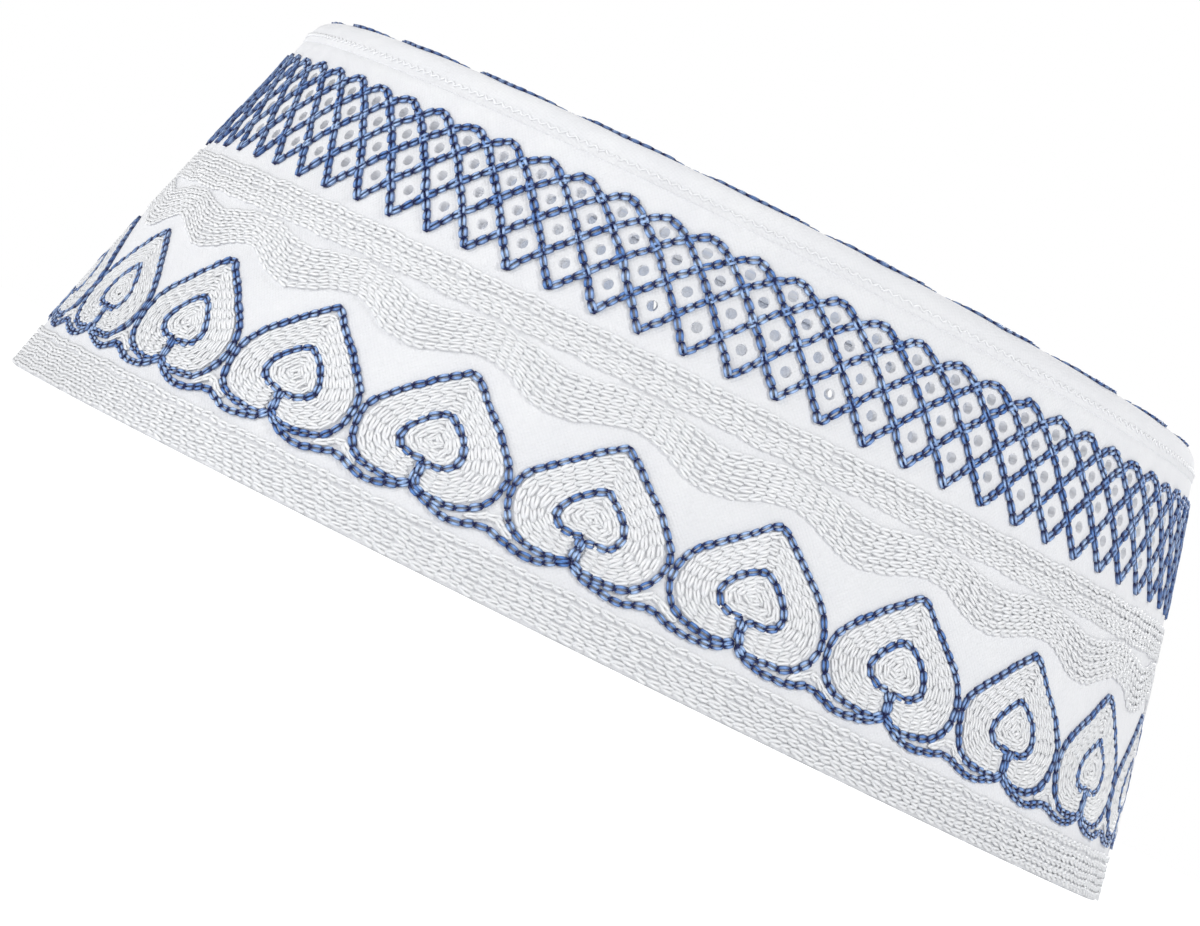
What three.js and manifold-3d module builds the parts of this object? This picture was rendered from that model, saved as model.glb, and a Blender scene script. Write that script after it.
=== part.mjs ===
// Embroidered cotton cap with a flat top, standing on its rim.
// Millimetres, +Z up, origin under the middle of the cap on the surface it stands on.
// +Y is the back, where the slanted join of the side lies. -X is the end with the pressed fold.
import * as THREE from 'three';
import { mergeVertices } from 'three/addons/utils/BufferGeometryUtils.js';
import Module from 'manifold-3d';

const wasm = await Module();
wasm.setup();

// Outline of the rim, seen from below
const halfLength = 95;
const halfDepth = 89;

// Height of the seam above the surface, and of the flat top above the seam
const seamHeight = 66.5;
const crownRise = 4.5;

// Side wall
const wall = 2;
const hemBevel = 0.35;
const seamReach = 0.834;
const sideBow = 0.008;

// Pressed fold at the -X end, deepest at the rim
const foldRise = 3;
const foldReachAngle = THREE.MathUtils.degToRad(20);
const foldHeight = 58;
const foldSharpness = 1.6;

// Top panel and the edge that rolls over onto the side
const panelThickness = 1.6;
const rollRadius = 3.4;

// Gap kept between pieces that are sewn together
const sewnGap = 0.3;

// Eyelets, one in every cell of the lattice, whose lines arch over and so make the upper cells lower.
// The solid is pierced at every third cell
const cellsRound = 72;
const cellRows = 4;
const cellStart = THREE.MathUtils.degToRad(-86.5);
const latticeHeight = 17.4;
const latticeBelowSeam = 3.5;
const archPower = 1.36;
const eyeletDiameter = 1.8;
const piercedStep = 3;
const eyeletSides = 6;

// Lapped join inside the back of the side
const lapWidth = 7;
const lapThickness = 1;
const lapSlant = THREE.MathUtils.degToRad(30);
const lapFootAngle = THREE.MathUtils.degToRad(76);
const lapAboveRim = 2;
const lapBelowSeam = 3;

// Fineness of the mesh
const segmentsRound = 72;
const sideLevels = 6;
const rollSteps = 4;
const lapSteps = 12;

const meanRadius = (halfLength + halfDepth) / 2;
const capHeight = seamHeight + crownRise;

const cotton = new THREE.MeshStandardMaterial({ color: 0xf3f4f8, roughness: 0.9, metalness: 0 });
const cottonTop = new THREE.MeshStandardMaterial({ color: 0xf0f1f6, roughness: 0.9, metalness: 0 });
const cottonInside = new THREE.MeshStandardMaterial({ color: 0xb9bac2, roughness: 0.95, metalness: 0 });

// Share of the rim's reach that the outside of the side has left at a height
function reach(height) {
  const t = height / seamHeight;
  return 1 - (1 - seamReach) * t + sideBow * 4 * t * (1 - t);
}

// Share by which the pressed fold pushes the side out, at an angle round the cap and a height
function foldShare(angle, height) {
  const fromEnd = Math.abs(Math.atan2(Math.sin(angle - Math.PI), Math.cos(angle - Math.PI)));
  const near = Math.max(0, 1 - fromEnd / foldReachAngle);
  const low = Math.max(0, 1 - height / foldHeight);
  return (foldRise / halfLength) * near ** foldSharpness * low;
}

// Point of the oval cap for a round one's angle, radius and height
function ovalPoint(angle, radius, height) {
  const share = (radius / meanRadius) * (1 + foldShare(angle, height));
  return new THREE.Vector3(
    halfLength * share * Math.cos(angle) + foldRise / 2,
    halfDepth * share * Math.sin(angle),
    height,
  );
}

// Turns a profile of [radius, height] points round the axis, then gives it the cap's oval plan
function turnedOval(profile) {
  const points = profile.map(([radius, height]) => new THREE.Vector2(radius, height));
  const geometry = new THREE.LatheGeometry(points, segmentsRound);
  geometry.rotateX(Math.PI / 2);
  const place = geometry.attributes.position;
  for (let i = 0; i < place.count; i += 1) {
    const x = place.getX(i);
    const y = place.getY(i);
    const point = ovalPoint(Math.atan2(y, x), Math.hypot(x, y), place.getZ(i));
    place.setXYZ(i, point.x, point.y, point.z);
  }
  return geometry;
}

// Closed solid for cutting, from a geometry whose shared corners are merged
function solidOf(geometry) {
  const bare = geometry.clone();
  bare.deleteAttribute('normal');
  bare.deleteAttribute('uv');
  const merged = mergeVertices(bare, 1e-4);
  const vertProperties = new Float32Array(merged.attributes.position.array);
  const triVerts = new Uint32Array(merged.index.array);
  return new wasm.Manifold(new wasm.Mesh({ numProp: 3, vertProperties, triVerts }));
}

function geometryOf(solid) {
  const mesh = solid.getMesh();
  const geometry = new THREE.BufferGeometry();
  geometry.setAttribute('position', new THREE.BufferAttribute(mesh.vertProperties, 3));
  geometry.setIndex(new THREE.BufferAttribute(mesh.triVerts, 1));
  geometry.computeVertexNormals();
  return geometry;
}

function outerRadius(height) {
  return meanRadius * reach(height);
}

// Side wall: up the outside, down the inside, with small bevels where the cloth folds at the rim
function sideGeometry() {
  const profile = [];
  profile.push([outerRadius(0) - hemBevel, 0]);
  for (let i = 0; i <= sideLevels; i += 1) {
    const height = hemBevel + ((seamHeight - hemBevel) * i) / sideLevels;
    profile.push([outerRadius(height), height]);
  }
  for (let i = sideLevels; i >= 0; i -= 1) {
    const height = hemBevel + ((seamHeight - hemBevel) * i) / sideLevels;
    profile.push([outerRadius(height) - wall, height]);
  }
  profile.push([outerRadius(0) - wall + hemBevel, 0]);
  profile.push(profile[0]);
  return turnedOval(profile);
}

// Pin through the side wall at one eyelet, square to the cloth
function eyeletPin(angle, height) {
  const middleOfWall = (at, level) => ovalPoint(at, outerRadius(level) - wall / 2, level);
  const centre = middleOfWall(angle, height);
  const along = middleOfWall(angle + eyeletDiameter / meanRadius, height).sub(centre);
  const up = middleOfWall(angle, height + eyeletDiameter).sub(centre);
  const outward = along.cross(up).normalize();
  const pinLength = wall * 3;
  const pin = new THREE.CylinderGeometry(eyeletDiameter / 2, eyeletDiameter / 2, pinLength, eyeletSides);
  pin.applyQuaternion(new THREE.Quaternion().setFromUnitVectors(new THREE.Vector3(0, 1, 0), outward));
  pin.translate(centre.x, centre.y, centre.z);
  return solidOf(pin);
}

// Height at which the arched lines cross, counted in half cells down from the top of the arches
function crossingHeight(halfCells) {
  return seamHeight - latticeBelowSeam - latticeHeight * (halfCells / (cellRows + 1)) ** archPower;
}

// Every row stands half a cell round from the one below, midway between its cells' two corners
function piercedSide() {
  let side = solidOf(sideGeometry());
  const cellAngle = (2 * Math.PI) / cellsRound;
  for (let row = 0; row < cellRows; row += 1) {
    const height = (crossingHeight(cellRows - row - 1) + crossingHeight(cellRows - row + 1)) / 2;
    for (let cell = row % piercedStep; cell < cellsRound; cell += piercedStep) {
      side = side.subtract(eyeletPin(cellStart + (cell + (row % 2) / 2) * cellAngle, height));
    }
  }
  return geometryOf(side);
}

// Top panel: one closed skin that leaves the axis on top, rolls over the edge and comes back below
function crownGeometry() {
  const foot = seamHeight + sewnGap;
  const edge = outerRadius(seamHeight);
  const lean = Math.atan2(edge - outerRadius(capHeight), capHeight - seamHeight);
  const roll = Math.min(rollRadius, crownRise - 2 * sewnGap);
  const rollCentre = edge - (crownRise - roll) * Math.tan(lean) - roll / Math.cos(lean);
  const rollPoint = (radius, turn) => [
    rollCentre + radius * Math.sin(turn),
    capHeight - roll + radius * Math.cos(turn),
  ];
  const lastTurn = Math.PI / 2 - lean;
  const profile = [[0, capHeight - panelThickness]];
  for (let i = 0; i <= rollSteps; i += 1) {
    profile.push(rollPoint(roll - panelThickness, (lastTurn * i) / rollSteps));
  }
  profile.push([edge - panelThickness, foot]);
  profile.push([edge, foot]);
  for (let i = rollSteps; i >= 0; i -= 1) {
    profile.push(rollPoint(roll, (lastTurn * i) / rollSteps));
  }
  profile.push([0, capHeight]);
  return turnedOval(profile);
}

// Lapped join: a flat strip swept up the inside of the wall on a slant
function lapGeometry() {
  const corners = [];
  const index = [];
  for (let i = 0; i <= lapSteps; i += 1) {
    const climb = ((seamHeight - lapBelowSeam - lapAboveRim) * i) / lapSteps;
    const height = lapAboveRim + climb;
    const drift = (climb * Math.tan(lapSlant)) / meanRadius;
    const halfAngle = lapWidth / 2 / Math.cos(lapSlant) / meanRadius;
    const outside = outerRadius(height) - wall - sewnGap;
    for (const [side, depth] of [[-1, 0], [1, 0], [1, lapThickness], [-1, lapThickness]]) {
      const point = ovalPoint(lapFootAngle + drift + side * halfAngle, outside - depth, height);
      corners.push(point.x, point.y, point.z);
    }
  }
  for (let i = 0; i < lapSteps; i += 1) {
    for (let k = 0; k < 4; k += 1) {
      const a = i * 4 + k;
      const b = i * 4 + ((k + 1) % 4);
      index.push(a, b, b + 4, a, b + 4, a + 4);
    }
  }
  const last = lapSteps * 4;
  index.push(0, 2, 1, 0, 3, 2);
  index.push(last, last + 1, last + 2, last, last + 2, last + 3);
  const geometry = new THREE.BufferGeometry();
  geometry.setAttribute('position', new THREE.Float32BufferAttribute(corners, 3));
  geometry.setIndex(index);
  geometry.computeVertexNormals();
  return geometry;
}

function piece(name, geometry, material) {
  const mesh = new THREE.Mesh(geometry, material);
  mesh.name = name;
  return mesh;
}

const cap = new THREE.Group();
cap.add(piece('side_band', piercedSide(), cotton));
cap.add(piece('crown_top', crownGeometry(), cottonTop));
cap.add(piece('back_seam', lapGeometry(), cottonInside));

export default cap;
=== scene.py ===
import math

import bmesh
import bpy
import numpy as np
from mathutils import Matrix, Vector


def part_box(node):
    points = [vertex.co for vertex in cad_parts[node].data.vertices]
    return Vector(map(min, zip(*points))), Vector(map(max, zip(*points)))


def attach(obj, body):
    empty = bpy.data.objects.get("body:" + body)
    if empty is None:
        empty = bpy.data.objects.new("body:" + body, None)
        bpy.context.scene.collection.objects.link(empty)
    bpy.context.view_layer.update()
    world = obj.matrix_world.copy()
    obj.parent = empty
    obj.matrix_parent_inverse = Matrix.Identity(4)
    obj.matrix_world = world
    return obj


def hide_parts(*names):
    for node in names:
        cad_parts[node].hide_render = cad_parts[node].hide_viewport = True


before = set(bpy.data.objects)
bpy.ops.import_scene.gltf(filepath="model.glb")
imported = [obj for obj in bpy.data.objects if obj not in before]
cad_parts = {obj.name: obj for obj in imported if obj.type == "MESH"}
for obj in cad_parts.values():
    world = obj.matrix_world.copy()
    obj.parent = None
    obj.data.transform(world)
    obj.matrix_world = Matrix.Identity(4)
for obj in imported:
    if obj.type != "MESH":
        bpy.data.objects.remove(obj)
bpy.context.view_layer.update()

# The side
# One long strip of stiffened white cotton, two plies thick, joined at the back and leaning in towards
# the top. Its lower edge is folded under to make the rim, its left end is pressed into a fold, and an
# eyelet is punched through every cell of the lattice that is stitched near the top.
half_length = 0.095
half_depth = 0.089
mean_radius = (half_length + half_depth) / 2
seam_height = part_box("side_band")[1].z
cap_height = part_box("crown_top")[1].z
wall = 0.002
seam_reach = 0.834
side_bow = 0.008
fold_rise = 0.003
fold_reach_angle = math.radians(20)
fold_height = 0.058
fold_sharpness = 1.6
round_length = 2 * math.pi * mean_radius

cells_round = 72
cell_rows = 4
cell_width = round_length / cells_round
cell_start = math.radians(-86.5) * mean_radius
lattice_height = 0.0174
lattice_top = seam_height - 0.0035
lattice_low = lattice_top - lattice_height
arch_power = 1.36
eyelet_radius = 0.00088
eyelet_lip = 0.00012
hem_radius = 0.0007
collar_width = 0.00035
columns_per_cell = 6
row_step = 0.0013
top_levels = 5
mm = 0.001


def reach(height):
    """Share of the rim's reach that is left at a height"""
    t = height / seam_height
    return 1 - (1 - seam_reach) * t + side_bow * 4 * t * (1 - t)


def oval(angle, radius, height):
    """Point of the oval cap for a round one's angle, radius and height, with the pressed fold"""
    from_fold = np.abs(np.arctan2(np.sin(angle - math.pi), np.cos(angle - math.pi)))
    near = np.clip(1 - from_fold / fold_reach_angle, 0, None) ** fold_sharpness
    low = np.clip(1 - height / fold_height, 0, None)
    share = radius / mean_radius * (1 + fold_rise / half_length * near * low)
    x = half_length * share * np.cos(angle) + fold_rise / 2
    y = half_depth * share * np.sin(angle)
    return np.stack([x, y, height + 0 * x], axis=-1)


def on_side(pattern):
    """Wraps flat points onto the side: length along the rim, height, and lift off the cloth"""
    along, height, lift = pattern.T
    return oval(along / mean_radius, mean_radius * reach(height) + lift, height)


def tree_with(name, inputs):
    """New geometry node tree with named inputs and its input and output nodes"""
    tree = bpy.data.node_groups.new(name, "GeometryNodeTree")
    for label, kind in inputs:
        tree.interface.new_socket(label, in_out="INPUT", socket_type="NodeSocket" + kind)
    tree.interface.new_socket("Geometry", in_out="OUTPUT", socket_type="NodeSocketGeometry")
    return tree, tree.nodes.new("NodeGroupInput"), tree.nodes.new("NodeGroupOutput")


def add_node(tree, kind, settings=None, **values):
    """Adds a node. Values are numbers or sockets, named as its inputs are, with _ for spaces"""
    node = tree.nodes.new(kind)
    for key, value in (settings or {}).items():
        setattr(node, key, value)
    for key, value in values.items():
        index = int(key[1:]) if key[0] == "i" and key[1:].isdigit() else key.replace("_", " ")
        if isinstance(value, bpy.types.NodeSocket):
            tree.links.new(value, node.inputs[index])
        else:
            node.inputs[index].default_value = value
    return node


def reckon(tree, operation, *values):
    """Result of one step of arithmetic on numbers or sockets"""
    named = {"i" + str(index): value for index, value in enumerate(values)}
    return add_node(tree, "ShaderNodeMath", {"operation": operation}, **named).outputs[0]


def ranged(tree, value, low, high, to_low=0.0, to_high=1.0):
    """A value brought from one range to another, and kept within it"""
    return add_node(tree, "ShaderNodeMapRange", i0=value, i1=low, i2=high, i3=to_low, i4=to_high).outputs[0]


def mixed(tree, share, first, second):
    """Colour between two, where each is three numbers or a socket"""
    first, second = ((*c, 1) if isinstance(c, tuple) else c for c in (first, second))
    return add_node(tree, "ShaderNodeMix", {"data_type": "RGBA"}, i0=share, i6=first, i7=second).outputs[2]


def grown(name, tree, inputs):
    """Runs a tree on an empty piece with these inputs, and keeps the result as a plain mesh"""
    host = bpy.data.objects.new(name + "_host", bpy.data.meshes.new(name + "_host"))
    bpy.context.scene.collection.objects.link(host)
    modifier = host.modifiers.new("grow", "NODES")
    modifier.node_group = tree
    for item in tree.interface.items_tree:
        if item.in_out == "INPUT" and item.name in inputs:
            modifier[item.identifier] = inputs[item.name]
    depsgraph = bpy.context.evaluated_depsgraph_get()
    mesh = bpy.data.meshes.new_from_object(
        host.evaluated_get(depsgraph), preserve_all_data_layers=True, depsgraph=depsgraph
    )
    bpy.data.objects.remove(host)
    mesh.name = name
    return mesh


def points_of(mesh):
    places = np.empty(len(mesh.vertices) * 3)
    mesh.vertices.foreach_get("co", places)
    return places.reshape(-1, 3)


def move_points(mesh, places):
    mesh.vertices.foreach_set("co", np.asarray(places, float).ravel())
    mesh.update()


def keep_numbers(mesh, name, numbers, kind="FLOAT"):
    """Keeps one number for every point of a mesh, or three if the kind is FLOAT_VECTOR"""
    layer = mesh.attributes.new(name, kind, "POINT")
    field = "value" if kind == "FLOAT" else "vector"
    layer.data.foreach_set(field, np.asarray(numbers, np.float32).ravel())


def mesh_of(name, points, faces):
    mesh = bpy.data.meshes.new(name)
    mesh.from_pydata([tuple(p) for p in points], [], [tuple(f) for f in faces])
    mesh.update()
    return mesh


def add_piece(name, mesh):
    piece = bpy.data.objects.new(name, mesh)
    bpy.context.scene.collection.objects.link(piece)
    return piece


def pattern_uv(mesh, places=None):
    """Keeps each face corner's flat place in the pattern as its UV, in centimetres"""
    corner_points = np.empty(len(mesh.loops), np.int32)
    mesh.loops.foreach_get("vertex_index", corner_points)
    flat = (points_of(mesh) if places is None else places)[corner_points][:, :2] * 100
    layer = mesh.uv_layers.get("pattern") or mesh.uv_layers.new(name="pattern")
    layer.data.foreach_set("uv", flat.ravel())


def grid_faces(rows, columns, flip=False):
    """Faces between the points of a grid, listed row by row"""
    faces = []
    for r in range(rows - 1):
        for c in range(columns - 1):
            a = r * columns + c
            corners = (a, a + 1, a + columns + 1, a + columns)
            faces.append(corners[::-1] if flip else corners)
    return faces


def joined(name, meshes, merge=1e-5):
    """One mesh from several, with the points that meet merged"""
    both = bmesh.new()
    for mesh in meshes:
        both.from_mesh(mesh)
    bmesh.ops.remove_doubles(both, verts=both.verts, dist=merge)
    mesh = bpy.data.meshes.new(name)
    both.to_mesh(mesh)
    both.free()
    return mesh


def shader(name):
    """New material with its nodes, and its main shader"""
    material = bpy.data.materials.new(name)
    material.use_nodes = True
    return material, material.node_tree, material.node_tree.nodes["Principled BSDF"]


def weave_height(tree, threads_per_cm):
    """Height of a plain weave from the piece's UV: threads pass over and under each other"""
    uv = add_node(tree, "ShaderNodeUVMap", {"uv_map": "pattern"}).outputs["UV"]
    sides = add_node(tree, "ShaderNodeSeparateXYZ", Vector=uv)
    waves = [reckon(tree, "SINE", reckon(tree, "MULTIPLY", sides.outputs[axis], math.pi * threads_per_cm))
             for axis in ("X", "Y")]
    return reckon(tree, "MULTIPLY", *waves), uv


# Share of the colour left in the gaps between the weave's threads: painted shade
gap_shade = 0.965


def cotton(name, colour, blotch, threads_per_cm, fuzz, roughness):
    """Woven cotton: fine weave with painted shade in its gaps, soft creases, and slightly uneven colour"""
    material, tree, main = shader(name)
    weave, uv = weave_height(tree, threads_per_cm)
    cloud = add_node(tree, "ShaderNodeTexNoise", Vector=uv, Scale=1.1, Detail=4.0, Roughness=0.6)
    creases = add_node(tree, "ShaderNodeTexNoise", Vector=uv, Scale=3.2, Detail=5.0, Roughness=0.55)
    grain = add_node(tree, "ShaderNodeTexNoise", Vector=uv, Scale=38.0, Detail=3.0)
    stained = mixed(tree, ranged(tree, cloud.outputs["Fac"], 0.38, 0.68), colour, blotch)
    # Painted shade: the colour darkens where the weave's threads dip
    painted_weave_shade = ranged(tree, weave, -1.0, 1.0, gap_shade, 1.0)
    shade = add_node(tree, "ShaderNodeVectorMath", {"operation": "SCALE"}, i0=stained, Scale=painted_weave_shade)
    tree.links.new(shade.outputs[0], main.inputs["Base Color"])
    soft = add_node(tree, "ShaderNodeBump", Strength=0.5, Distance=0.0008, Height=creases.outputs["Fac"])
    fluff = add_node(tree, "ShaderNodeBump", Strength=fuzz, Distance=0.0002, Height=grain.outputs["Fac"],
                     Normal=soft.outputs[0])
    bump = add_node(tree, "ShaderNodeBump", Strength=0.3, Distance=0.00008, Height=weave,
                    Normal=fluff.outputs[0])
    tree.links.new(bump.outputs[0], main.inputs["Normal"])
    main.inputs["Roughness"].default_value = roughness
    main.inputs["Specular IOR Level"].default_value = 0.25
    main.inputs["Sheen Weight"].default_value = 0.15
    main.inputs["Sheen Roughness"].default_value = 0.5
    return material


cotton_outside = cotton("cotton_outside", colour=(0.785, 0.793, 0.82), blotch=(0.815, 0.822, 0.842),
                        threads_per_cm=28, fuzz=0.25, roughness=0.85)
# Inside, the same white cotton is coloured greyer: painted shade. Its coarser weave, fuzz and blotches are
# the wrong side's own
cotton_inside = cotton("cotton_inside", colour=(0.68, 0.685, 0.70), blotch=(0.50, 0.55, 0.65),
                       threads_per_cm=22, fuzz=0.9, roughness=0.95)


def crossing_height(half_cells):
    """Height at which the arched lines cross, in half cells down from the top of the arches"""
    return lattice_top - lattice_height * (half_cells / (cell_rows + 1)) ** arch_power


eyelet_heights = np.array([(crossing_height(k - 1) + crossing_height(k + 1)) / 2
                           for k in range(cell_rows, 0, -1)])
row_edges = (eyelet_heights[1:] + eyelet_heights[:-1]) / 2
row_edges = np.concatenate([[2 * eyelet_heights[0] - row_edges[0]], row_edges,
                            [2 * eyelet_heights[-1] - row_edges[-1]]])
row_height = (row_edges[-1] - row_edges[0]) / cell_rows


def eyelet_tile():
    """Cloth round one eyelet, one row high: outside, lip, wall of the hole and inside"""
    half = Vector((cell_width / 2, row_height / 2))
    steps = columns_per_cell
    border = [(half.x, 0), (half.x, half.y)]
    border += [(half.x - cell_width * i / steps, half.y) for i in range(1, steps)]
    border += [(-half.x, half.y), (-half.x, 0), (-half.x, -half.y)]
    border += [(-half.x + cell_width * i / steps, -half.y) for i in range(1, steps)]
    border += [(half.x, -half.y)]
    sides = len(border)
    turn = [2 * math.pi * i / sides for i in range(sides)]
    hole, collar = ([(radius * math.cos(t) / reach(lattice_low), radius * math.sin(t)) for t in turn]
                    for radius in (eyelet_radius, eyelet_radius + collar_width))
    levels = [(border, 0), (collar, 0), (hole, -eyelet_lip),
              (hole, eyelet_lip - wall), (collar, -wall), (border, -wall)]
    points = [(x, y, lift) for level, lift in levels for x, y in level]
    faces = []
    for k in range(len(levels) - 1):
        for i in range(sides):
            a, b = k * sides + i, k * sides + (i + 1) % sides
            faces.append((a, b, b + sides, a + sides))
    mesh = mesh_of("eyelet_tile", points, faces)
    keep_numbers(mesh, "at_hole", [level is not border for level, lift in levels for p in level])
    return add_piece("eyelet_tile", mesh)


def perforation_tree():
    """Lays the tile in rows, each shifted half a cell from the one below"""
    inputs = [("Tile", "Object"), ("Cells Round", "Int"), ("Rows", "Int"), ("Cell Width", "Float"),
              ("Row Height", "Float"), ("Start", "Float"), ("Lowest Row", "Float"), ("Cloth", "Material")]
    tree, given, result = tree_with("perforated_cloth", inputs)
    cells, rows = given.outputs["Cells Round"], given.outputs["Rows"]
    index = add_node(tree, "GeometryNodeInputIndex").outputs[0]
    column = reckon(tree, "MODULO", index, cells)
    row = reckon(tree, "FLOOR", reckon(tree, "DIVIDE", index, cells))
    shifted = reckon(tree, "MULTIPLY_ADD", reckon(tree, "MODULO", row, 2.0), 0.5, column)
    x = reckon(tree, "MULTIPLY_ADD", shifted, given.outputs["Cell Width"], given.outputs["Start"])
    y = reckon(tree, "MULTIPLY_ADD", row, given.outputs["Row Height"], given.outputs["Lowest Row"])
    place = add_node(tree, "ShaderNodeCombineXYZ", X=x, Y=y)
    spots = add_node(tree, "GeometryNodePoints", Count=reckon(tree, "MULTIPLY", cells, rows),
                     Position=place.outputs[0])
    tile = add_node(tree, "GeometryNodeObjectInfo", Object=given.outputs["Tile"])
    copies = add_node(tree, "GeometryNodeInstanceOnPoints", Points=spots.outputs[0],
                      Instance=tile.outputs["Geometry"])
    solid = add_node(tree, "GeometryNodeRealizeInstances", Geometry=copies.outputs[0])
    cloth = add_node(tree, "GeometryNodeSetMaterial", Geometry=solid.outputs[0],
                     Material=given.outputs["Cloth"])
    tree.links.new(cloth.outputs[0], result.inputs["Geometry"])
    return tree


def plain_cloth(name, profile):
    """Cloth without eyelets: a profile of heights and lifts, repeated along the rim"""
    stops = np.arange(cells_round * columns_per_cell + 1) / columns_per_cell - 0.5
    along = cell_start + stops * cell_width
    points = [(x, height, lift) for height, lift in profile for x in along]
    return mesh_of(name, points, grid_faces(len(profile), len(along)))


tile = eyelet_tile()
pierced_low, pierced_top = row_edges[0], row_edges[-1]
pierced = grown("pierced", perforation_tree(), {
    "Tile": tile, "Cells Round": cells_round, "Rows": cell_rows, "Cell Width": cell_width,
    "Row Height": row_height, "Start": cell_start, "Lowest Row": pierced_low + row_height / 2,
    "Cloth": cotton_outside})
bpy.data.objects.remove(tile)

# The even rows of tiles take the heights of the arched lattice, and the holes stay round
places = points_of(pierced)
at_hole = np.empty(len(places))
pierced.attributes["at_hole"].data.foreach_get("value", at_hole)
row = np.clip(((places[:, 1] - pierced_low) // row_height).astype(int), 0, cell_rows - 1)
from_middle = places[:, 1] - (pierced_low + (row + 0.5) * row_height)
even_levels = np.linspace(pierced_low, pierced_top, 2 * cell_rows + 1)
arched_levels = np.sort(np.concatenate([row_edges, eyelet_heights]))
stretched = np.interp(places[:, 1], even_levels, arched_levels)
places[:, 1] = np.where(at_hole > 0.5, eyelet_heights[row] + from_middle, stretched)
move_points(pierced, places)

low_heights = np.linspace(hem_radius, pierced_low, round((pierced_low - hem_radius) / row_step) + 1)
hem_turns = np.radians(np.arange(15, 90, 25))
below = [(hem_radius * (1 - math.sin(t)), -hem_radius * (1 - math.cos(t))) for t in hem_turns]
profile = [(h, -wall) for h in low_heights[::-1]]
profile += [(h, -wall - lift) for h, lift in below] + [(0, hem_radius - wall), (0, -hem_radius)]
profile += below[::-1] + [(h, 0) for h in low_heights]
lower_side = plain_cloth("lower_side", profile)

edge = 0.0003
top_heights = np.linspace(pierced_top, seam_height - edge, top_levels)
profile = [(h, 0) for h in top_heights] + [(seam_height, -edge), (seam_height, edge - wall)]
profile += [(h, -wall) for h in top_heights[::-1]]
upper_side = plain_cloth("upper_side", profile)

for mesh in (pierced, lower_side, upper_side):
    pattern_uv(mesh)
    flat_places = points_of(mesh)
    keep_numbers(mesh, "lift", flat_places[:, 2])
    move_points(mesh, on_side(flat_places))
side_mesh = joined("side_cloth", (pierced, lower_side, upper_side))
side_mesh.materials.clear()
side_mesh.materials.append(cotton_outside)
side_mesh.materials.append(cotton_inside)


def line_inside(mesh, below_lift):
    """Gives the faces that lie inside the cap the cloth's wrong side, whose greyer colour is painted shade
    """
    lifts = np.empty(len(mesh.vertices))
    mesh.attributes["lift"].data.foreach_get("value", lifts)
    for face in mesh.polygons:
        inside = all(lifts[v] < below_lift for v in face.vertices)
        face.material_index = int(inside)
        face.use_smooth = True


line_inside(side_mesh, -wall / 2)
sharp_from = math.radians(50)
side_mesh.set_sharp_from_angle(angle=sharp_from)
side_cloth = add_piece("side_cloth", side_mesh)
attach(side_cloth, "root")
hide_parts("side_band")

# The top panel
# A flat oval of the same cotton. Its edge rolls over the top of the side and is turned under and sewn
# down along a fine seam, so a narrow strip of it leans with the side before it rolls over.
panel = 0.0016
roll_radius = 0.0034
foot_drop = 0.0005
foot_proud = 0.00025
crown_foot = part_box("crown_top")[0].z - foot_drop
foot_lip = 0.0002
crown_columns = 216
roll_stops = 13
flat_stops = 60
flat_rings = 31
sag = 0.0004
sag_way = 0.005


def crown_profile():
    """Line over the top panel's outside: radius, height, and its two slopes, from foot to middle"""
    edge_radius = mean_radius * reach(seam_height)
    lean = math.atan2(edge_radius - mean_radius * reach(cap_height), cap_height - seam_height)
    centre = edge_radius - (cap_height - seam_height - roll_radius) * math.tan(lean)
    centre -= roll_radius / math.cos(lean)
    start = (edge_radius + foot_proud, crown_foot)
    last_turn = math.pi / 2 - lean
    turns = np.linspace(last_turn, 0, roll_stops)
    rolled = [(centre + roll_radius * math.sin(t), cap_height - roll_radius * (1 - math.cos(t)))
              for t in turns]
    flat = [(radius, cap_height - sag * min(1, (centre - radius) / sag_way))
            for radius in np.linspace(centre, 0, flat_stops)[1:]]
    line = np.array([start] + rolled + flat)
    out = [(math.cos(lean), math.sin(lean))] + [(math.sin(t), math.cos(t)) for t in turns]
    out += [(0, 1)] * len(flat)
    return line, np.array(out)


crown_line, crown_out = crown_profile()
crown_length = np.concatenate([[0], np.cumsum(np.linalg.norm(np.diff(crown_line, axis=0), axis=1))])


def on_crown(pattern):
    """Wraps flat points onto the top panel: length along the rim, way in from its foot, and lift"""
    along, inward, lift = pattern.T
    radius, height, out, up = (np.interp(inward, crown_length, column)
                               for column in (*crown_line.T, *crown_out.T))
    return oval(along / mean_radius, radius + lift * out, height + lift * up)


def crown_cloth():
    """Top panel's mesh: outside from the foot to the middle, and back along the inside"""
    flat_start = roll_stops + 1
    rings = np.linspace(crown_length[flat_start], crown_length[-1], flat_rings)
    ways = np.concatenate([[foot_lip], crown_length[1:flat_start], rings])
    lips = [(0.0, edge - panel), (0.0, -edge)]
    profile = lips + [(way, 0) for way in ways]
    profile += [(way, -panel) for way in ways[:1:-1]] + [(ways[0], -panel), lips[0]]
    along = np.linspace(0, round_length, crown_columns + 1)
    points = [(x, way, lift) for way, lift in profile for x in along]
    pole = len(lips) + len(ways) - 1
    faces = [face for face in grid_faces(len(profile), len(along)) if face[0] // len(along) != pole]
    return mesh_of("crown_cloth", points, faces)


crown_mesh = crown_cloth()
flat_places = points_of(crown_mesh)
turn, from_middle = flat_places[:, 0] / mean_radius, crown_length[-1] - flat_places[:, 1]
pattern_uv(crown_mesh, np.column_stack([from_middle * np.cos(turn), from_middle * np.sin(turn)]))
keep_numbers(crown_mesh, "lift", flat_places[:, 2])
move_points(crown_mesh, on_crown(flat_places))
crown_mesh = joined("crown_cloth", (crown_mesh,))
crown_mesh.materials.append(cotton_outside)
crown_mesh.materials.append(cotton_inside)
line_inside(crown_mesh, -panel / 2)
crown_cloth_piece = add_piece("crown_cloth", crown_mesh)
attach(crown_cloth_piece, "root")
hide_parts("crown_top")

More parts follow.
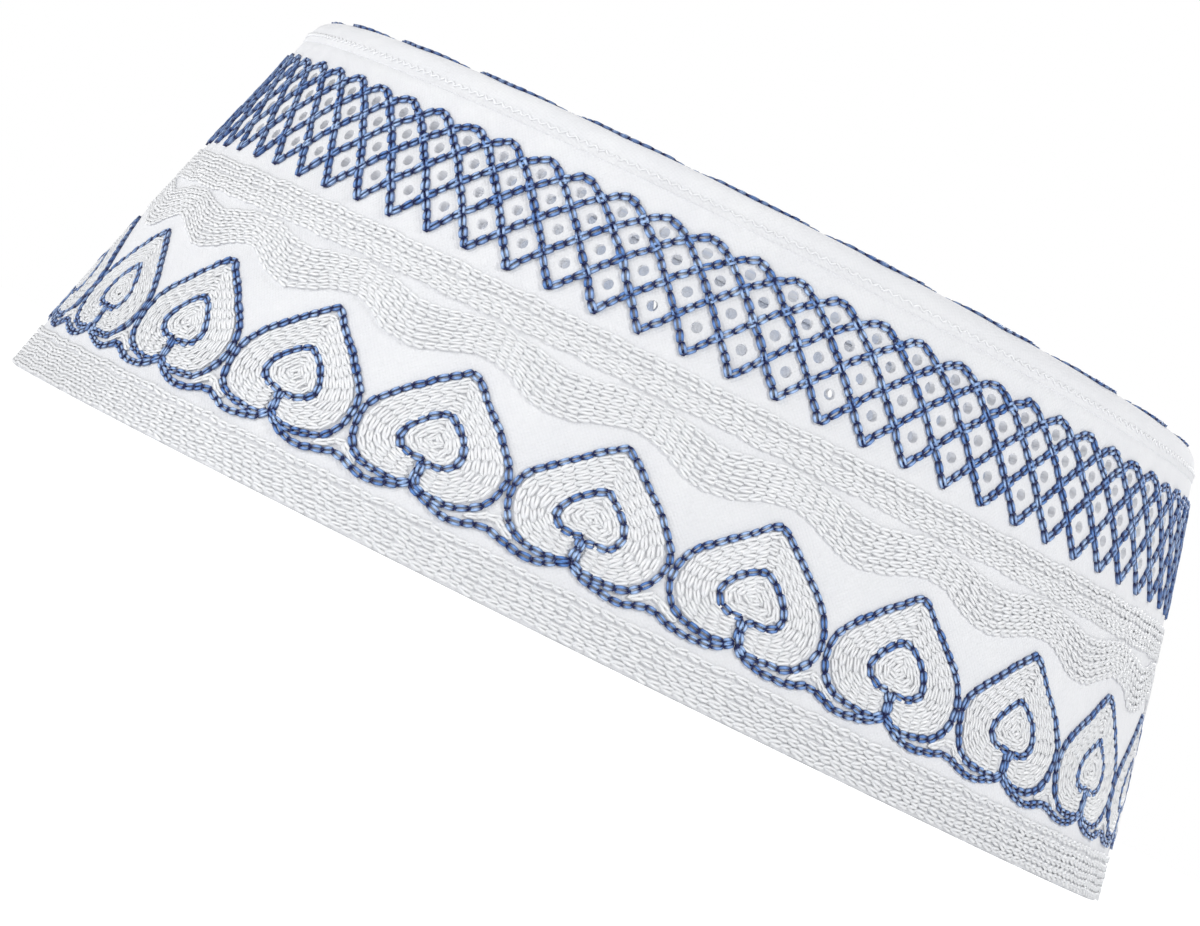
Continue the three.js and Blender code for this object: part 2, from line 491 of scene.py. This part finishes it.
# White chain stitch along the rim
# Six rows of bleached cotton thread stiffen the folded rim. A chain stitch is a row of loops, each
# held down where the next one comes up inside it, so every link here is one loop of thread.
white_pitch = 0.00195
white_half_width = 0.00033
white_thread = 0.00030
link_run = 2.4
twist = 9
# Shares of how open a loop lies, between which its colour leaves the joint's and reaches its own: the
# joint's colour is painted shade where loops meet
lit_from = 0.5
lit_fully = 0.95
# Across each strand's ring, where its top ends and its sides start: the sides are painted darker as shade
unshaded_top_ends = 0.42
shaded_side_starts = 0.82


def thread(name, light, dark, shaded_joint, kept_on_shaded_sides, roughness, gloss):
    """Twisted thread: its own colour where a loop lies open, with painted shade where loops meet and down
    each strand's sides, towards the joint's colour
    """
    material, tree, main = shader(name)
    open_part = add_node(tree, "ShaderNodeAttribute", {"attribute_name": "open"}).outputs["Fac"]
    chance = add_node(tree, "ShaderNodeAttribute", {"attribute_name": "chance"}).outputs["Fac"]
    strand = add_node(tree, "ShaderNodeAttribute", {"attribute_name": "strand"}).outputs["Vector"]
    across, upward, run = add_node(tree, "ShaderNodeSeparateXYZ", Vector=strand).outputs
    wound = reckon(tree, "MULTIPLY_ADD", run, twist, reckon(tree, "ARCTAN2", upward, across))
    ply = reckon(tree, "SINE", wound)
    # Painted shade where loops meet: the colour turns to the joint's where the loop closes
    lit = ranged(tree, open_part, lit_from, lit_fully)
    # Painted shade: each strand's sides are darker than its top
    painted_side_shade = ranged(tree, reckon(tree, "ABSOLUTE", across), unshaded_top_ends, shaded_side_starts, 1.0, kept_on_shaded_sides)
    colour = mixed(tree, reckon(tree, "MULTIPLY", lit, painted_side_shade), shaded_joint, mixed(tree, chance, dark, light))
    tree.links.new(colour, main.inputs["Base Color"])
    bump = add_node(tree, "ShaderNodeBump", Strength=0.5, Distance=0.00006, Height=ply)
    tree.links.new(bump.outputs[0], main.inputs["Normal"])
    main.inputs["Roughness"].default_value = roughness
    main.inputs["Specular IOR Level"].default_value = gloss
    main.inputs["IOR"].default_value = 1.5
    main.inputs["Sheen Weight"].default_value = 0.1
    return material


# The white's joint colour is the same thread, darker where loops meet: painted shade
thread_white = thread("thread_white", light=(0.90, 0.908, 0.925), dark=(0.87, 0.88, 0.90),
                      shaded_joint=(0.835, 0.848, 0.875), kept_on_shaded_sides=0.95, roughness=0.38, gloss=1.0)


def chain_link(name, pitch, half_width, radius, sides, stations):
    """One loop of thread, from its tail round its head and back, through half a loop's stations"""
    lower = [(x, -y, lift) for x, y, lift in stations[-2:0:-1]]
    path = np.array([(x * pitch, y * half_width, lift * radius) for x, y, lift in stations + lower])
    ahead = np.roll(path, -1, 0) - np.roll(path, 1, 0)
    ahead /= np.linalg.norm(ahead, axis=1)[:, None]
    side = np.cross((0, 0, 1), ahead)
    side /= np.linalg.norm(side, axis=1)[:, None]
    up = np.cross(ahead, side)
    turns = 2 * math.pi * (np.arange(sides) + 0.5) / sides + math.pi / 2
    ring = np.stack([np.cos(turns), np.sin(turns)], axis=-1)
    out = ring[None, :, :1] * side[:, None] + ring[None, :, 1:] * up[:, None]
    points = path[:, None] + radius * out
    count = len(path)
    faces = [(i * sides + j, i * sides + (j + 1) % sides, ((i + 1) % count) * sides + (j + 1) % sides,
              ((i + 1) % count) * sides + j) for i in range(count) for j in range(sides)]
    mesh = mesh_of(name, points.reshape(-1, 3), faces)
    share = (path[:, 0] - path[:, 0].min()) / np.ptp(path[:, 0])
    opened = np.clip(np.minimum(share * 2.2, (1.05 - share) * 4), 0, 1)
    keep_numbers(mesh, "open", np.repeat(opened, sides))
    run = np.repeat(np.arange(count) / count * link_run, sides)
    keep_numbers(mesh, "strand", np.column_stack([np.tile(ring, (count, 1)), run]), "FLOAT_VECTOR")
    for face in mesh.polygons:
        face.use_smooth = True
    return add_piece(name, mesh)


def chain_tree():
    """Lays a link along every stretch of the lines that the thread is worked along"""
    inputs = [("Lines", "Object"), ("Link", "Object"), ("Pitch", "Float"), ("Turn", "Float"),
              ("Length Change", "Float"), ("Size Change", "Float"), ("Seed", "Int"),
              ("Thread", "Material")]
    tree, given, result = tree_with("chain_stitch", inputs)
    pitch, seed = given.outputs["Pitch"], given.outputs["Seed"]
    line_seed, width_seed, colour_seed = (reckon(tree, "ADD", seed, step) for step in (211.0, 71.0, 137.0))

    def chance_between(low, high, seed):
        return add_node(tree, "FunctionNodeRandomValue", {"data_type": "FLOAT"}, i2=low, i3=high,
                        Seed=seed).outputs[1]

    lines = add_node(tree, "GeometryNodeObjectInfo", Object=given.outputs["Lines"])
    own_pitch = reckon(tree, "MULTIPLY", chance_between(0.97, 1.03, line_seed), pitch)
    even = add_node(tree, "GeometryNodeResampleCurve", {"mode": "LENGTH"},
                    Curve=lines.outputs["Geometry"], Length=own_pitch)
    ahead = add_node(tree, "GeometryNodeInputTangent")
    most = reckon(tree, "MULTIPLY", pitch, given.outputs["Length Change"])
    shift = chance_between(reckon(tree, "MULTIPLY", most, -1.0), most, seed)
    along = add_node(tree, "ShaderNodeVectorMath", {"operation": "SCALE"}, i0=ahead.outputs[0], Scale=shift)
    uneven = add_node(tree, "GeometryNodeSetPosition", Geometry=even.outputs[0], Offset=along.outputs[0])
    wire = add_node(tree, "GeometryNodeCurveToMesh", Curve=uneven.outputs[0])
    ends = add_node(tree, "GeometryNodeInputMeshEdgeVertices")
    step = add_node(tree, "ShaderNodeVectorMath", {"operation": "SUBTRACT"},
                    i0=ends.outputs["Position 2"], i1=ends.outputs["Position 1"])
    keep = tree.nodes.new("GeometryNodeCaptureAttribute")
    keep.domain = "EDGE"
    keep.capture_items.new("VECTOR", "Step")
    tree.links.new(wire.outputs[0], keep.inputs[0])
    tree.links.new(step.outputs[0], keep.inputs[1])
    spots = add_node(tree, "GeometryNodeMeshToPoints", {"mode": "EDGES"}, Mesh=keep.outputs[0])
    facing = add_node(tree, "FunctionNodeAlignRotationToVector", {"axis": "X", "pivot_axis": "Z"},
                      Vector=keep.outputs[1])
    least_turn = reckon(tree, "MULTIPLY", given.outputs["Turn"], -1.0)
    turn = chance_between(least_turn, given.outputs["Turn"], seed)
    turned = add_node(tree, "ShaderNodeCombineXYZ", Z=turn)
    spun = add_node(tree, "FunctionNodeEulerToRotation", Euler=turned.outputs[0])
    pose = add_node(tree, "FunctionNodeRotateRotation", {"rotation_space": "LOCAL"},
                    Rotation=facing.outputs[0], Rotate_By=spun.outputs[0])
    length = add_node(tree, "ShaderNodeVectorMath", {"operation": "LENGTH"}, i0=keep.outputs[1])
    stretch = reckon(tree, "DIVIDE", length.outputs["Value"], pitch)
    small, large = (reckon(tree, side, 1.0, given.outputs["Size Change"]) for side in ("SUBTRACT", "ADD"))
    width = chance_between(small, large, width_seed)
    size = add_node(tree, "ShaderNodeCombineXYZ", X=stretch, Y=width, Z=width)
    link = add_node(tree, "GeometryNodeObjectInfo", Object=given.outputs["Link"])
    copies = add_node(tree, "GeometryNodeInstanceOnPoints", Points=spots.outputs[0],
                      Instance=link.outputs["Geometry"], Rotation=pose.outputs[0], Scale=size.outputs[0])
    marked = add_node(tree, "GeometryNodeStoreNamedAttribute",
                      {"data_type": "FLOAT", "domain": "INSTANCE"}, Geometry=copies.outputs[0],
                      Name="chance", Value=chance_between(0.0, 1.0, colour_seed))
    solid = add_node(tree, "GeometryNodeRealizeInstances", Geometry=marked.outputs[0])
    coloured = add_node(tree, "GeometryNodeSetMaterial", Geometry=solid.outputs[0],
                        Material=given.outputs["Thread"])
    tree.links.new(coloured.outputs[0], result.inputs["Geometry"])
    return tree


def guide_of(name, lines):
    """Curve with one open spline for each line of flat points"""
    data = bpy.data.curves.new(name, "CURVE")
    data.dimensions = "3D"
    for line in lines:
        spline = data.splines.new("POLY")
        spline.points.add(len(line) - 1)
        flat = np.column_stack([line, np.zeros(len(line)), np.ones(len(line))])
        spline.points.foreach_set("co", flat.ravel())
    guide = bpy.data.objects.new(name, data)
    bpy.context.scene.collection.objects.link(guide)
    return guide


# How far lines stray, and two waves for each way: times round the cap, lean for a mm of height, start
stray = 0.00010
stray_along = ((37, 0.45, 0), (61, -0.7, 2))
stray_up = ((43, -0.5, 1), (83, 0.8, 4))


def wander(line):
    """Lets a line stray a little from its pattern, as neighbouring lines do"""
    angle = line[:, 0] / mean_radius
    height = line[:, 1] / mm
    ways = [sum(np.sin(times * angle + lean * height + start) for times, lean, start in waves)
            for waves in (stray_along, stray_up)]
    return line + stray * np.column_stack(ways)


def worked(name, lines, link, pitch, material, wrap=on_side, seed=1, turn=0.12, change=0.12):
    """Chain stitch worked along lines of the pattern, then laid on the cap"""
    guide = guide_of(name + "_lines", [wander(line) for line in lines])
    mesh = grown(name, chain_stitch, {
        "Lines": guide, "Link": link, "Pitch": pitch, "Turn": turn, "Length Change": change,
        "Size Change": change, "Seed": seed, "Thread": material})
    bpy.data.objects.remove(guide)
    move_points(mesh, wrap(points_of(mesh)))
    piece = add_piece(name, mesh)
    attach(piece, "root")
    return piece


def level_line(height, points=1200):
    """Line once round the side at one height"""
    along = np.linspace(0, round_length, points)
    return np.column_stack([along, np.full(points, height)])


chain_stitch = chain_tree()
# Stations of half a loop: share of the pitch, share of the half width, and lift in thread radii
white_stations = [(-0.52, 0.0, 0.05), (-0.22, 0.62, 0.75), (0.14, 0.92, 0.65), (0.5, 0.9, 0.3),
                  (0.7, 0.0, 0.05)]
white_link = chain_link("white_link", white_pitch, white_half_width, white_thread, 3, white_stations)
rim_heights = np.array([0.9, 2.0, 3.15, 4.3, 5.45, 6.85]) * mm
rim_lines = [level_line(height) for height in rim_heights]
worked("rim_stitches", rim_lines, white_link, white_pitch, thread_white, seed=11)

# Blue hearts and the scalloped line under them
# Twenty-two hearts stand side by side round the cap. One unbroken run of blue chain stitch draws each
# outline, climbs a short stem to draw the small heart within, and comes back. Below, a scalloped line
# swings from heart to heart.
hearts = 22
heart_pitch = round_length / hearts
heart_start = math.radians(-97.0) * mean_radius
blue_pitch = 0.00178
blue_half_width = 0.00036
blue_thread = 0.00028

# Right half of each outline in mm, from the tip down to the cleft: way out from the axis, and height
outer_heart = [(0, 29.7), (2.5, 28.0), (5.1, 25.9), (8.0, 23.5), (10.6, 21.2), (12.2, 18.9),
               (12.55, 16.4), (11.8, 13.7), (9.8, 11.5), (7.2, 10.55), (4.0, 10.4), (1.6, 10.7),
               (0.24, 11.5)]
inner_heart = [(0, 22.9), (2.3, 21.4), (4.4, 19.3), (5.3, 17.5), (4.9, 16.0), (3.6, 15.1),
               (1.8, 14.8), (0.24, 15.0)]
# Half of one scallop in mm, from the heart's cleft to the low cusp midway to the next heart
scallop_half = [(0.2, 11.1), (2.0, 10.0), (4.4, 9.2), (7.0, 8.85), (9.3, 9.2), (11.4, 9.95),
                (heart_pitch / mm / 2, 10.4)]


def smooth(points, steps=8):
    """Smooth line through chosen points, in metres"""
    p = np.array(points, float) * mm
    p = np.vstack([2 * p[0] - p[1], p, 2 * p[-1] - p[-2]])
    t = (np.arange(steps) / steps)[:, None]
    spans = []
    for a, b, c, d in zip(p, p[1:], p[2:], p[3:]):
        spans.append(((2 * b) + (c - a) * t + (2 * a - 5 * b + 4 * c - d) * t ** 2
                      + (3 * b - a - 3 * c + d) * t ** 3) / 2)
    return np.vstack(spans + [p[-2:-1]])


def mirrored(line):
    return line * (-1, 1)


def at_hearts(lines):
    """The same lines at every heart round the cap"""
    return [line + (heart_start + k * heart_pitch, 0) for k in range(hearts) for line in lines]


# The blue's navy joint is the thread seen deep in the loop, darkened further as painted shade
thread_blue = thread("thread_blue", light=(0.44, 0.62, 0.94), dark=(0.10, 0.24, 0.60),
                     shaded_joint=(0.002, 0.009, 0.08), kept_on_shaded_sides=0.25, roughness=0.34, gloss=0.35)
blue_stations = [(-0.5, 0.0, 0.0), (-0.28, 0.78, 0.6), (0.08, 1.0, 0.85), (0.44, 0.92, 0.8),
                 (0.6, 0.0, 0.55)]
blue_link = chain_link("blue_link", blue_pitch, blue_half_width, blue_thread, 4, blue_stations)
outer_line = smooth(outer_heart)
inner_line = smooth(inner_heart)
stem_foot = np.array([(-0.22, 11.9)]) * mm
heart_line = np.vstack([mirrored(outer_line)[::-1], outer_line[1:], inner_line[::-1],
                        mirrored(inner_line)[1:], stem_foot])
other_half = [(heart_pitch / mm - x, height) for x, height in scallop_half[-2::-1]]
heart_lines = at_hearts([heart_line])
scallop_lines = at_hearts([smooth(scallop_half + other_half)])
worked("heart_outlines", heart_lines, blue_link, blue_pitch, thread_blue, seed=23)
worked("scalloped_line", scallop_lines, blue_link, blue_pitch, thread_blue, seed=29)

# White filling of the hearts
# Between the two outlines five rows of white chain stitch follow the heart's shape, open at the stem.
# Smaller rows of shorter loops fill the heart within, and one short row the corner between two hearts.
fill_shares = (0.21, 0.37, 0.53, 0.69, 0.85)
core_shares = (0.74, 0.48, 0.22)
core_middle = np.array([0.0, 18.0]) * mm
core_pitch = white_pitch * 0.75
stem_clearance = 0.00105
# Half of the short row between two hearts in mm, up to midway between them
corner_half = [(9.8, 10.45), (11.0, 11.1), (12.2, 11.9), (heart_pitch / mm / 2, 12.4)]


def evenly(line, count=80):
    """The same line with its points an even way apart"""
    run = np.concatenate([[0], np.cumsum(np.linalg.norm(np.diff(line, axis=0), axis=1))])
    stops = np.linspace(0, run[-1], count)
    return np.column_stack([np.interp(stops, run, line[:, 0]), np.interp(stops, run, line[:, 1])])


def between(share):
    """Row between the outlines, from the stem round the tip and back to the stem"""
    half = evenly(outer_line) * (1 - share) + evenly(inner_line) * share
    clear = (np.arange(len(half)) < len(half) / 2) | (half[:, 0] > stem_clearance)
    half = half[clear]
    return np.vstack([mirrored(half)[::-1], half[1:]])


def core_row(share):
    half = core_middle + (inner_line - core_middle) * share
    return np.vstack([mirrored(half)[::-1], half[1:]])


fill_lines = at_hearts([between(share) for share in fill_shares])
core_lines = at_hearts([core_row(share) for share in core_shares])
corner_line = smooth(corner_half + [(heart_pitch / mm - x, height) for x, height in corner_half[-2::-1]])
worked("heart_filling", fill_lines, white_link, white_pitch, thread_white, seed=31)
worked("heart_cores", core_lines + at_hearts([corner_line]), white_link, core_pitch, thread_white,
       seed=37)

# White waved band
# Above the hearts, five straight rows of white chain stitch, and under them six rows that wave, the
# lowest the most, to lift over the tip of every heart. The straight rows leave two thin grooves.
straight_heights = (43.1, 41.9, 40.6, 39.7, 38.75)
wave_rows = 6
wave_crests = (37.4, 32.9)
wave_troughs = (35.7, 29.5)


def wave_line(share, points=2200):
    """Waving row, at a share of the way from the highest to the lowest"""
    along = np.linspace(heart_start, heart_start + round_length, points)
    lift = 0.5 + 0.5 * np.cos((along - heart_start) / heart_pitch * 2 * math.pi)
    crest = wave_crests[0] + (wave_crests[1] - wave_crests[0]) * share
    trough = wave_troughs[0] + (wave_troughs[1] - wave_troughs[0]) * share
    return np.column_stack([along, (trough + (crest - trough) * lift) * mm])


straight_lines = [level_line(height * mm) for height in straight_heights]
wave_lines = [wave_line(row / (wave_rows - 1)) for row in range(wave_rows)]
worked("straight_rows", straight_lines, white_link, white_pitch, thread_white, seed=41)
worked("waved_rows", wave_lines, white_link, white_pitch, thread_white, seed=42)

# Blue lattice
# Every line of blue chain stitch climbs on a slant across the eyelets, rounds over at the top and comes
# down the other way, so the crossing lines leave one diamond for each eyelet.
arch_half_cells = (cell_rows + 1) / 2
lattice_pitch = 0.0019
# The pattern narrows with the side up here, so the loops are drawn wider and thicker than the hearts'
lattice_half_width = blue_half_width * 1.16
lattice_thread = blue_thread * 1.1


def arch(start):
    """Up from one low point, round the top and down to the low point five cells on"""
    t = np.linspace(-1, 1, 61)
    along = start + (1 + t) * arch_half_cells * cell_width
    return np.column_stack([along, lattice_top - np.abs(t) ** arch_power * lattice_height])


lattice_lines = [arch(cell_start + cell * cell_width) for cell in range(cells_round)]
lattice_link = chain_link("lattice_link", lattice_pitch, lattice_half_width, lattice_thread, 4,
                          blue_stations)
worked("lattice", lattice_lines, lattice_link, lattice_pitch, thread_blue, seed=43)

# Zigzag along the top seam
# The panel's turned edge is held down by a fine white thread laid in a small zigzag, a little over a
# millimetre above the panel's foot. It has no loops, so it is one cord swept along its line.
zigzag_way = 0.00135
zigzag_swing = 0.00034
zigzag_step = 0.00085
zigzag_radius = 0.00018
zigzag_sampling = 0.00045
zigzag_lift = 0.00008


def cord_tree():
    """Sweeps a slightly uneven cord along the lines, which laid can then flatten"""
    inputs = [("Lines", "Object"), ("Radius", "Float"), ("Step", "Float"), ("Sides", "Int"),
              ("Unevenness", "Float"), ("Thread", "Material")]
    tree, given, result = tree_with("laid_cord", inputs)
    lines = add_node(tree, "GeometryNodeObjectInfo", Object=given.outputs["Lines"])
    even = add_node(tree, "GeometryNodeResampleCurve", {"mode": "LENGTH"},
                    Curve=lines.outputs["Geometry"], Length=given.outputs["Step"])
    level = add_node(tree, "GeometryNodeSetCurveNormal", {"mode": "Z_UP"}, Curve=even.outputs[0])
    noise = add_node(tree, "ShaderNodeTexNoise", Scale=900.0, Detail=1.0)
    thin, thick = (reckon(tree, side, 1.0, given.outputs["Unevenness"]) for side in ("SUBTRACT", "ADD"))
    fat = ranged(tree, noise.outputs["Fac"], 0.3, 0.7, thin, thick)
    radius = add_node(tree, "GeometryNodeSetCurveRadius", Curve=level.outputs[0], Radius=fat)
    round_line = add_node(tree, "GeometryNodeCurvePrimitiveCircle", Resolution=given.outputs["Sides"],
                          Radius=given.outputs["Radius"])
    cord = add_node(tree, "GeometryNodeCurveToMesh", Curve=radius.outputs[0],
                    Profile_Curve=round_line.outputs[0], Fill_Caps=True)
    smooth_cord = add_node(tree, "GeometryNodeSetShadeSmooth", Geometry=cord.outputs[0])
    opened = add_node(tree, "GeometryNodeStoreNamedAttribute", {"data_type": "FLOAT", "domain": "POINT"},
                      Geometry=smooth_cord.outputs[0], Name="open", Value=1.0)
    coloured = add_node(tree, "GeometryNodeSetMaterial", Geometry=opened.outputs[0],
                        Material=given.outputs["Thread"])
    solid = add_node(tree, "GeometryNodeRealizeInstances", Geometry=coloured.outputs[0])
    tree.links.new(solid.outputs[0], result.inputs["Geometry"])
    return tree


def laid(name, lines, radius, step, sides, unevenness, material, wrap, lift, flatness=1.0):
    """Cord laid along lines of the pattern, flattened and lifted off the cloth, then wrapped"""
    guide = guide_of(name + "_lines", lines)
    mesh = grown(name, laid_cord, {"Lines": guide, "Radius": radius, "Step": step, "Sides": sides,
                                   "Unevenness": unevenness, "Thread": material})
    bpy.data.objects.remove(guide)
    flat = points_of(mesh)
    flat[:, 2] = flat[:, 2] * flatness + lift
    move_points(mesh, wrap(flat))
    piece = add_piece(name, mesh)
    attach(piece, "root")
    return piece


laid_cord = cord_tree()
zigzag_count = round(round_length * seam_reach / zigzag_step / 2) * 2
zigzag = np.array([(round_length * i / zigzag_count, zigzag_way + zigzag_swing * (-1) ** i)
                   for i in range(zigzag_count + 1)])
laid("seam_zigzag", [zigzag], zigzag_radius, zigzag_sampling, 4, 0.45, thread_white,
     on_crown, zigzag_lift)

# Stitching on the top panel
# A blue scalloped line runs round just inside the rolled edge, one lobe above every heart, with white
# rows following it. The rest of the panel is quilted with plain rings of white chain stitch.
crown_total = crown_length[-1]
lobe_outer = crown_total - 0.0061
lobe_depth = 0.0044
follow_rows = (0.0016, 0.0028)
band_rings = (0.0655, 0.0644, 0.0633)
quilt_rings = tuple(np.arange(0.0580, 0.0080, -0.0070))


def on_top(pattern):
    """Lays a flat drawing, centred on the panel's middle, over the panel and its rolled edge"""
    x, y, lift = pattern.T
    along = np.arctan2(y, x) * mean_radius
    return on_crown(np.column_stack([along, crown_total - np.hypot(x, y), lift]))


def lobes(inset, points=2400):
    """Scalloped ring: its lobes reach the rolled edge and its cusps point to the middle"""
    angle = heart_start / mean_radius + np.linspace(0, 2 * math.pi, points)
    wave = np.abs(np.cos((angle - heart_start / mean_radius) * hearts / 2))
    radius = lobe_outer - lobe_depth * (1 - wave ** 0.75) - inset
    return np.column_stack([radius * np.cos(angle), radius * np.sin(angle)])


def ring_line(radius, points=720):
    angle = np.linspace(0, 2 * math.pi, points)
    return np.column_stack([radius * np.cos(angle), radius * np.sin(angle)])


worked("top_scallops", [lobes(0)], blue_link, blue_pitch, thread_blue, wrap=on_top,
       seed=47)
top_rows = [lobes(inset) for inset in follow_rows]
top_rows += [ring_line(radius) for radius in band_rings + quilt_rings]
worked("top_stitches", top_rows, white_link, white_pitch, thread_white, wrap=on_top,
       seed=53)

# Wrong side of the blue stitching
# Inside the cap the blue chains of the hearts and of the scalloped line show as solid, slightly fuzzy
# lines. They lie flat in the cloth's wrong side, so each is one flattened cord along the same line.
reverse_radius = 0.00045
reverse_flatness = 0.45
reverse_step = 0.0009
reverse_lift = -wall - 0.00002


def wrong_side_thread():
    material, tree, main = shader("thread_blue_reverse")
    spot = add_node(tree, "ShaderNodeTexCoord").outputs["Object"]
    fleck = add_node(tree, "ShaderNodeTexNoise", Vector=spot, Scale=1400.0, Detail=3.0)
    mottled = ranged(tree, fleck.outputs["Fac"], 0.36, 0.64)
    colour = mixed(tree, mottled, (0.010, 0.040, 0.24), (0.10, 0.21, 0.52))
    bump = add_node(tree, "ShaderNodeBump", Strength=0.6, Distance=0.0001, Height=fleck.outputs["Fac"])
    tree.links.new(colour, main.inputs["Base Color"])
    tree.links.new(bump.outputs[0], main.inputs["Normal"])
    main.inputs["Roughness"].default_value = 0.8
    main.inputs["Sheen Weight"].default_value = 0.2
    return material


thread_blue_reverse = wrong_side_thread()
laid("reverse_lines", heart_lines + scallop_lines, reverse_radius, reverse_step, 4, 0.5,
     thread_blue_reverse, on_side, reverse_lift, flatness=reverse_flatness)

# Join at the back
# The strip's two ends lap at the back. Inside, one end lies over the other as a slanted flat tape of the
# same cotton. Outside, the join shows as a fine ridge with a row of white stitches beside it.
lap_width = 0.007
lap_thickness = 0.001
lap_slant = math.radians(30)
lap_foot = math.radians(76) * mean_radius
lap_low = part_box("back_seam")[0].z
lap_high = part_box("back_seam")[1].z
lap_levels = 48
lap_edge = 0.0003
lap_gap = 0.0003
ridge_radius = 0.0005
ridge_step = 0.0012
join_inset = 0.0004
join_row_way = 0.0014


def lap_middle(height):
    return lap_foot + (height - lap_low) * math.tan(lap_slant)


def lap_tape():
    """Tape with softened edges, swept up the inside of the side on its slant"""
    half = lap_width / 2 / math.cos(lap_slant)
    near, far = -wall - lap_gap, -wall - lap_gap - lap_thickness
    section = [(-half + lap_edge, near), (half - lap_edge, near), (half, near - lap_edge),
               (half, far + lap_edge), (half - lap_edge, far), (-half + lap_edge, far),
               (-half, far + lap_edge), (-half, near - lap_edge)]
    heights = np.linspace(lap_low, lap_high, lap_levels)
    points = [(lap_middle(h) + x, h, lift) for h in heights for x, lift in section]
    count = len(section)
    faces = [(i * count + k, i * count + (k + 1) % count, (i + 1) * count + (k + 1) % count,
              (i + 1) * count + k) for i in range(lap_levels - 1) for k in range(count)]
    last = (lap_levels - 1) * count
    faces += [tuple(range(count))[::-1], tuple(range(last, last + count))]
    return mesh_of("lap_tape", points, faces)


lap_mesh = lap_tape()
pattern_uv(lap_mesh)
move_points(lap_mesh, on_side(points_of(lap_mesh)))
lap_mesh.materials.append(cotton_inside)
lap = add_piece("lap_tape", lap_mesh)
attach(lap, "root")
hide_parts("back_seam")

join_heights = np.linspace(join_inset, seam_height - join_inset, 60)
join_line = np.column_stack([lap_middle(join_heights), join_heights])
laid("join_ridge", [join_line], ridge_radius, ridge_step, 6, 0.1, cotton_outside,
     on_side, 0.0, flatness=0.5)
worked("join_stitches", [join_line + (join_row_way, 0)], white_link, white_pitch, thread_white,
       seed=59)

# Photo studio
# A plain white floor under a white sky, which look brighter than the light that they give. A small soft
# box shines across the steep threads, a large one lights the left end, weaker ones stand above and
# behind, and a faint one inside the cap lights what shows through the eyelets.
floor_size = 6.0
floor_corners = [(x * floor_size, y * floor_size, 0) for x, y in ((-1, -1), (1, -1), (1, 1), (-1, 1))]
floor = add_piece("floor", mesh_of("floor", floor_corners, [(0, 1, 2, 3)]))
floor_material, tree, main = shader("white_floor")
main.inputs["Base Color"].default_value = (0.92, 0.92, 0.92, 1)
main.inputs["Roughness"].default_value = 1.0
main.inputs["Specular IOR Level"].default_value = 0.0
main.inputs["Emission Color"].default_value = (1, 1, 1, 1)
floor_seen = 0.7
floor_light = 0.25
is_seen = add_node(tree, "ShaderNodeLightPath").outputs["Is Camera Ray"]
tree.links.new(ranged(tree, is_seen, 0.0, 1.0, floor_light, floor_seen), main.inputs["Emission Strength"])
floor.data.materials.append(floor_material)

world = bpy.data.worlds.new("white_sky")
world.use_nodes = True
sky = world.node_tree.nodes["Background"]
sky.inputs["Color"].default_value = (1, 1, 1, 1)
sky_seen = 1.0
sky_light = 0.42
is_seen = add_node(world.node_tree, "ShaderNodeLightPath").outputs["Is Camera Ray"]
strength = ranged(world.node_tree, is_seen, 0.0, 1.0, sky_light, sky_seen)
world.node_tree.links.new(strength, sky.inputs["Strength"])
bpy.context.scene.world = world
bpy.context.scene.view_settings.view_transform = "Standard"

view_angle = math.radians(-5.14)
view_elevation = math.radians(-2.0)
view_roll = math.radians(26.4)
view_distance = 0.85
focal_pixels = 5300
image_width = 1200
sensor_width = 36.0
aim = Vector((0.0015, 0, 0.041))
aim_right = -0.0122
aim_up = -0.0090

right = Vector((math.cos(view_angle), math.sin(view_angle), 0))
back = Vector((math.sin(view_angle), -math.cos(view_angle), math.tan(view_elevation))).normalized()
up = back.cross(right)
rolled_right = right * math.cos(view_roll) + up * math.sin(view_roll)
rolled_up = up * math.cos(view_roll) - right * math.sin(view_roll)
camera_place = aim + back * view_distance
back = (camera_place - aim - rolled_right * aim_right - rolled_up * aim_up).normalized()
rolled_right = (rolled_right - back * rolled_right.dot(back)).normalized()
rolled_up = back.cross(rolled_right)
camera_data = bpy.data.cameras.new("camera")
camera_data.sensor_width = sensor_width
camera_data.lens = sensor_width * focal_pixels / image_width
camera = bpy.data.objects.new("camera", camera_data)
bpy.context.scene.collection.objects.link(camera)
turn = Matrix((rolled_right, rolled_up, back)).transposed().to_4x4()
camera.matrix_world = Matrix.Translation(camera_place) @ turn
bpy.context.scene.camera = camera


def soft_box(name, place, width, power):
    """Square soft box that faces the cap"""
    data = bpy.data.lights.new(name, "AREA")
    data.shape = "SQUARE"
    data.size = width
    data.energy = power
    light = bpy.data.objects.new(name, data)
    bpy.context.scene.collection.objects.link(light)
    light.location = place
    light.rotation_euler = (middle - Vector(place)).to_track_quat("-Z", "Y").to_euler()


middle = Vector((0, 0, 0.035))
across_threads = rolled_right * 0.94 + rolled_up * 0.35
soft_box("key_box", middle + across_threads + back * 0.8, width=0.25, power=6.2)
soft_box("left_box", (-1.25, -0.3, 0.35), width=0.9, power=9.5)
soft_box("top_box", (0.1, 0.1, 1.0), width=0.7, power=1.0)
soft_box("back_box", (0.5, 1.0, 0.6), width=0.6, power=5.0)
soft_box("inside_box", (0, 0, 0.002), width=0.08, power=0.055)

for spare in ("white_link", "blue_link", "lattice_link"):
    bpy.data.objects.remove(bpy.data.objects[spare])
